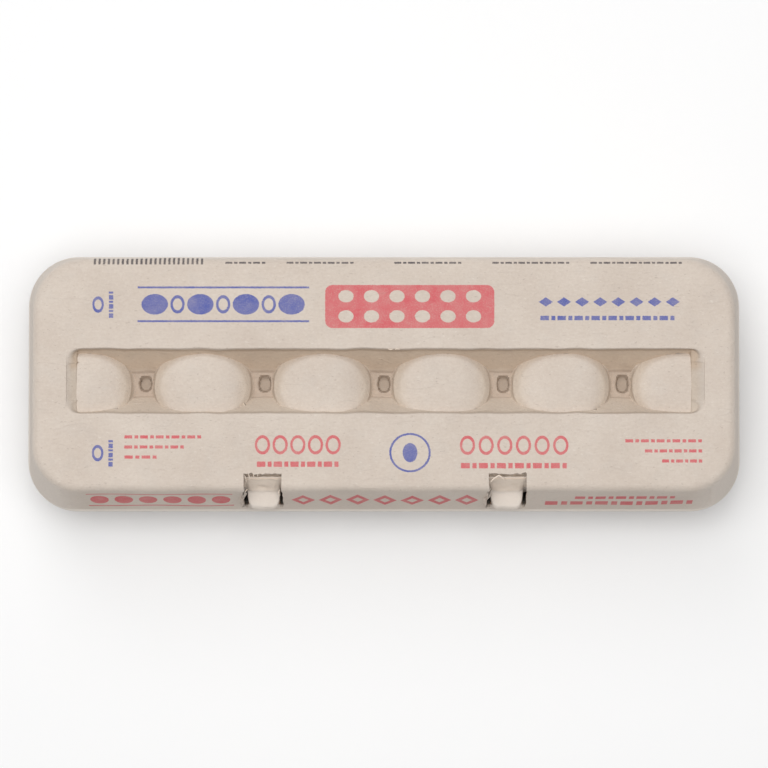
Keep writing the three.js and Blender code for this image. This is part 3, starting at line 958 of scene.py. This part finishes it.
def span(field, zero, one):
    """A field that is 0 at `zero`, 1 at `one`, and held between them; `one` may be the smaller."""
    return ((field - zero) / (one - zero)).made("ADD", 0.0, clamp=True)


def axes(tree, place):
    """The object's X, Y and Z in millimetres."""
    split = tree.nodes.new("ShaderNodeSeparateXYZ")
    tree.links.new(place, split.inputs[0])
    return [Field(tree, entry) / MM for entry in split.outputs]


def printed(tree, base, place):
    """The lid's print laid over the pulp's colour, mottled like ink on rough board."""
    x, y, z = axes(tree, place)
    waver = noise(tree, place, 1700, 2.0) - 0.5
    x = x + waver * 0.45
    y = y - waver * 0.35
    on_top = span(z, HEIGHT - 1.2, HEIGHT - 0.9)
    on_front = span(y, -43.5, -44.0) * span(z, HEIGHT - 1.0, HEIGHT - 2.0)
    on_back = span(z, HEIGHT - 5.4, HEIGHT - 5.2)
    blotch = noise(tree, place, 160, 3.0, 0.6)
    grain = noise(tree, place, 2600, 2.0, 0.6)
    wear = span(grain, 0.25, 0.5) * 0.3 + span(blotch, 0.3, 0.7) * 0.2 + 0.48
    base = layered(tree, base, RED_INK, red_marks(x, y).inked() * on_top * wear)
    base = layered(tree, base, BLUE_INK, blue_marks(x, y).inked() * on_top * wear)
    base = layered(tree, base, GREY_INK, grey_marks(x, y).inked() * on_back * wear)
    return layered(tree, base, RED_INK, wall_marks(x, z).inked() * on_front * wear)


def painted_shade_and_light_in_hollows(tree, base, place):
    """Painted shade and light: warmer pulp on the trough's walls and a darker, warmer back wall as
    painted shade, darker wells, pockets, end walls and locks' slots as painted shade, and paler lip and
    outer walls as painted light.
    """
    x, y, z = axes(tree, place)
    from_middle = abs(x)
    within = span(abs(y), TROUGH_HALF_Y + 0.4, TROUGH_HALF_Y - 0.2)
    within = within * span(from_middle, TROUGH_HALF_X + 1.5, TROUGH_HALF_X + 0.5)
    walls = within * span(z, HEIGHT - 0.6, HEIGHT - 2.0)
    wells = within * span(z, TROUGH_FLOOR + 1.2, TROUGH_FLOOR + 0.4)
    pockets = within * span(z, TROUGH_FLOOR - 1.0, TROUGH_FLOOR - 2.0)
    ends = span(from_middle, TROUGH_HALF_X - 6.2, TROUGH_HALF_X - 4.8)
    ends = within * ends * span(z, HEIGHT - 0.2, HEIGHT - 0.6)
    inside_wall = span(y, -50.4, -49.8) * span(y, -42.8, -43.6) * span(z, 45.5, 44.5)
    slots = inside_wall * span(abs(from_middle - LOCK_X), LOCK_HALF + 1.3, LOCK_HALF + 0.9)
    lip = span(z, RIM_Z + 2.6, RIM_Z + 2.2)
    outer_walls = (within * -1 + 1) * span(z, HEIGHT - 0.6, HEIGHT - 3.0)
    front_run = span(y, -42.5, -44.5) * span(from_middle, 136.0, 124.0)
    # Painted light on the lid's lip and outer walls
    base = layered(tree, base, PAINTED_RIM_LIGHT, lip * 0.75)
    base = layered(tree, base, PAINTED_RIM_LIGHT, outer_walls * (front_run * -0.35 + 0.5))
    # Painted shade on the trough's walls, back wall, wells, pockets, end walls and the locks' slots
    base = layered(tree, base, PAINTED_WARM_SHADE, walls, "MULTIPLY")
    base = layered(tree, base, PAINTED_BACK_WALL_SHADE, walls * span(y, 4.0, 6.0), "MULTIPLY")
    base = layered(tree, base, PAINTED_WELL_SHADE, wells, "MULTIPLY")
    base = layered(tree, base, PAINTED_POCKET_SHADE, pockets, "MULTIPLY")
    base = layered(tree, base, PAINTED_END_WALL_SHADE, ends, "MULTIPLY")
    return layered(tree, base, PAINTED_SLOT_SHADE, slots, "MULTIPLY")


def painted_flank_shade(tree, base, place):
    """Painted shade: warmer pulp low on the domes' flanks, where they lie in shade."""
    z = axes(tree, place)[2]
    return layered(tree, base, PAINTED_WARM_SHADE, span(z, 62.6, 60.0), "MULTIPLY")


def painted_knob_light(tree, base, place):
    """Painted light: paler pulp on the knobs' shelves, and a paler, warmer ramp above the shelf,
    lightening them where the lid shades them.
    """
    z = axes(tree, place)[2]
    base = layered(tree, base, PAINTED_KNOB_LIGHT, span(z, 46.5, 50.0) * 0.5)
    return layered(tree, base, PAINTED_RAMP_LIGHT, span(z, 51.0, 52.5) * 0.6)


def painted_rim_light(tree, base, place):
    """Painted light: paler pulp on the tray's rim."""
    z = axes(tree, place)[2]
    return layered(tree, base, PAINTED_RIM_LIGHT, span(z, RIM_Z - 2.6, RIM_Z - 1.6) * 0.75)


def pulp_colour(tree, place):
    """Warm grey with broad clouds, fine mottling, and sparse dark and pale flecks of fibre."""
    cloud = noise(tree, place, 45, 4.0, 0.55)
    fine = noise(tree, place, 900, 3.0, 0.6)
    fibres = noise(tree, place, 420, 3.0, 0.65, (1.0, 3.2, 3.2))
    tone = cloud * 0.42 + fine * 0.3 + fibres * 0.28
    colour = colour_ramp(tree, span(tone, 0.32, 0.68), [(0.0, PULP_DARK), (1.0, PULP_PALE)])
    tinge = noise(tree, place, 130, 2.0, 0.5)
    colour = layered(tree, colour, COOL_TINGE, span(tinge, 0.5, 0.75) * 0.6, "MULTIPLY")
    flecks = noise(tree, place, 640, 1.0, 0.4, (1.0, 2.2, 1.0))
    colour = layered(tree, colour, DARK_FLECK, span(flecks, 0.71, 0.76) * 0.3)
    return layered(tree, colour, PALE_FLECK, span(flecks, 0.29, 0.24) * 0.35)


def pulp_material(name, overlay=None):
    """Moulded pulp with a felted surface; the optional function may lay print, painted shade or painted
    light over its colour.
    """
    material = bpy.data.materials.new(name)
    material.use_nodes = True
    tree = material.node_tree
    shader = tree.nodes["Principled BSDF"]
    shader.inputs["Roughness"].default_value = 0.93
    shader.inputs["Specular IOR Level"].default_value = 0.25
    place = tree.nodes.new("ShaderNodeTexCoord").outputs["Object"]
    colour = pulp_colour(tree, place)
    if overlay:
        colour = overlay(tree, colour, place)
    tree.links.new(colour, shader.inputs["Base Color"])
    fine = noise(tree, place, 1500, 4.0, 0.7)
    strands = noise(tree, place, 420, 3.0, 0.65, (1.0, 3.2, 3.2))
    dents = noise(tree, place, 110, 3.0, 0.6)
    lines = noise(tree, place, 75, 1.0, 0.5, (0.5, 1.5, 1.0))
    patches = noise(tree, place, 95, 0.0, 0.5)
    wrinkles = span(abs(lines - 0.5), 0.012, 0.0) * span(patches, 0.57, 0.64)
    felt = fine * 0.5 + strands * 0.6 + dents * 1.2 + wrinkles * 0.5
    bump = tree.nodes.new("ShaderNodeBump")
    bump.inputs["Strength"].default_value = 0.4
    bump.inputs["Distance"].default_value = 0.0006
    tree.links.new(felt.socket, bump.inputs["Height"])
    tree.links.new(bump.outputs["Normal"], shader.inputs["Normal"])
    return material


def lid_print_painted_shade_and_light(tree, base, place):
    """Painted shade in the hollows, painted light on the lip and outer walls, and print."""
    return printed(tree, painted_shade_and_light_in_hollows(tree, base, place), place)


def floor_material():
    """Plain, pale and matte."""
    material = bpy.data.materials.new("floor")
    material.use_nodes = True
    shader = material.node_tree.nodes["Principled BSDF"]
    shader.inputs["Base Color"].default_value = (*FLOOR_WHITE, 1)
    shader.inputs["Roughness"].default_value = 0.9
    return material


def area_light(name, place, size, power):
    """A soft square light at `place` in metres, pointing at the carton."""
    light = bpy.data.lights.new(name, "AREA")
    light.shape = "SQUARE"
    light.size = size
    light.energy = power
    holder = bpy.data.objects.new(name, light)
    bpy.context.scene.collection.objects.link(holder)
    holder.location = place
    holder.rotation_mode = "QUATERNION"
    holder.rotation_quaternion = (Vector(LIGHT_AIM) - Vector(place)).to_track_quat("-Z", "Y")


def make_camera():
    """A long lens nearly straight above, leaning a little to the front, as in the photograph."""
    camera = bpy.data.cameras.new("camera")
    camera.sensor_width = SENSOR_MM
    camera.lens = SENSOR_MM * CAMERA_DISTANCE / (IMAGE_PX / RIM_PX_PER_MM)
    camera.clip_end = 100
    holder = bpy.data.objects.new("camera", camera)
    bpy.context.scene.collection.objects.link(holder)
    forward = CAMERA_DISTANCE * math.sin(CAMERA_TILT)
    above_rim = CAMERA_DISTANCE * math.cos(CAMERA_TILT)
    holder.location = (0, -forward * MM, (RIM_Z + above_rim) * MM)
    holder.rotation_euler = (CAMERA_TILT, 0, 0)
    bpy.context.scene.camera = holder


def light_scene():
    """Soft light from above and behind, a weak fill, and a pale surround."""
    area_light("overhead", (-0.04, 0.08, 1.9), 1.2, 26.5)
    area_light("rear", (-0.35, 1.1, 1.5), 1.0, 6.5)
    area_light("side", (-1.1, 0.0, 1.5), 1.0, 1.2)
    world = bpy.context.scene.world or bpy.data.worlds.new("world")
    bpy.context.scene.world = world
    world.use_nodes = True
    background = world.node_tree.nodes["Background"]
    background.inputs["Color"].default_value = (1, 1, 1, 1)
    background.inputs["Strength"].default_value = SURROUND
    bpy.context.scene.view_settings.view_transform = "Standard"


plain_pulp = pulp_material("pulp")
printed_pulp_painted_shade_and_light = pulp_material("printed_pulp_painted_shade_and_light", lid_print_painted_shade_and_light)
dome_pulp = pulp_material("dome_pulp", painted_flank_shade)
knob_pulp = pulp_material("knob_pulp", painted_knob_light)
rim_pulp = pulp_material("rim_pulp", painted_rim_light)
pieces = {
    make_lid(): printed_pulp_painted_shade_and_light,
    make_tray(): rim_pulp,
    make_domes(): dome_pulp,
    make_lock("lock_left", LOCK_SHIFT - LOCK_X, 11, 0.6): knob_pulp,
    make_lock("lock_right", LOCK_SHIFT + LOCK_X, 12, 0.0): knob_pulp,
    make_fibres(): knob_pulp,
    make_hinge(): plain_pulp,
}
for piece, material in pieces.items():
    piece.data.materials.append(material)
    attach(piece, "root")
    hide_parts("carton")

floor = make_floor()
floor.data.materials.append(floor_material())

light_scene()
make_camera()
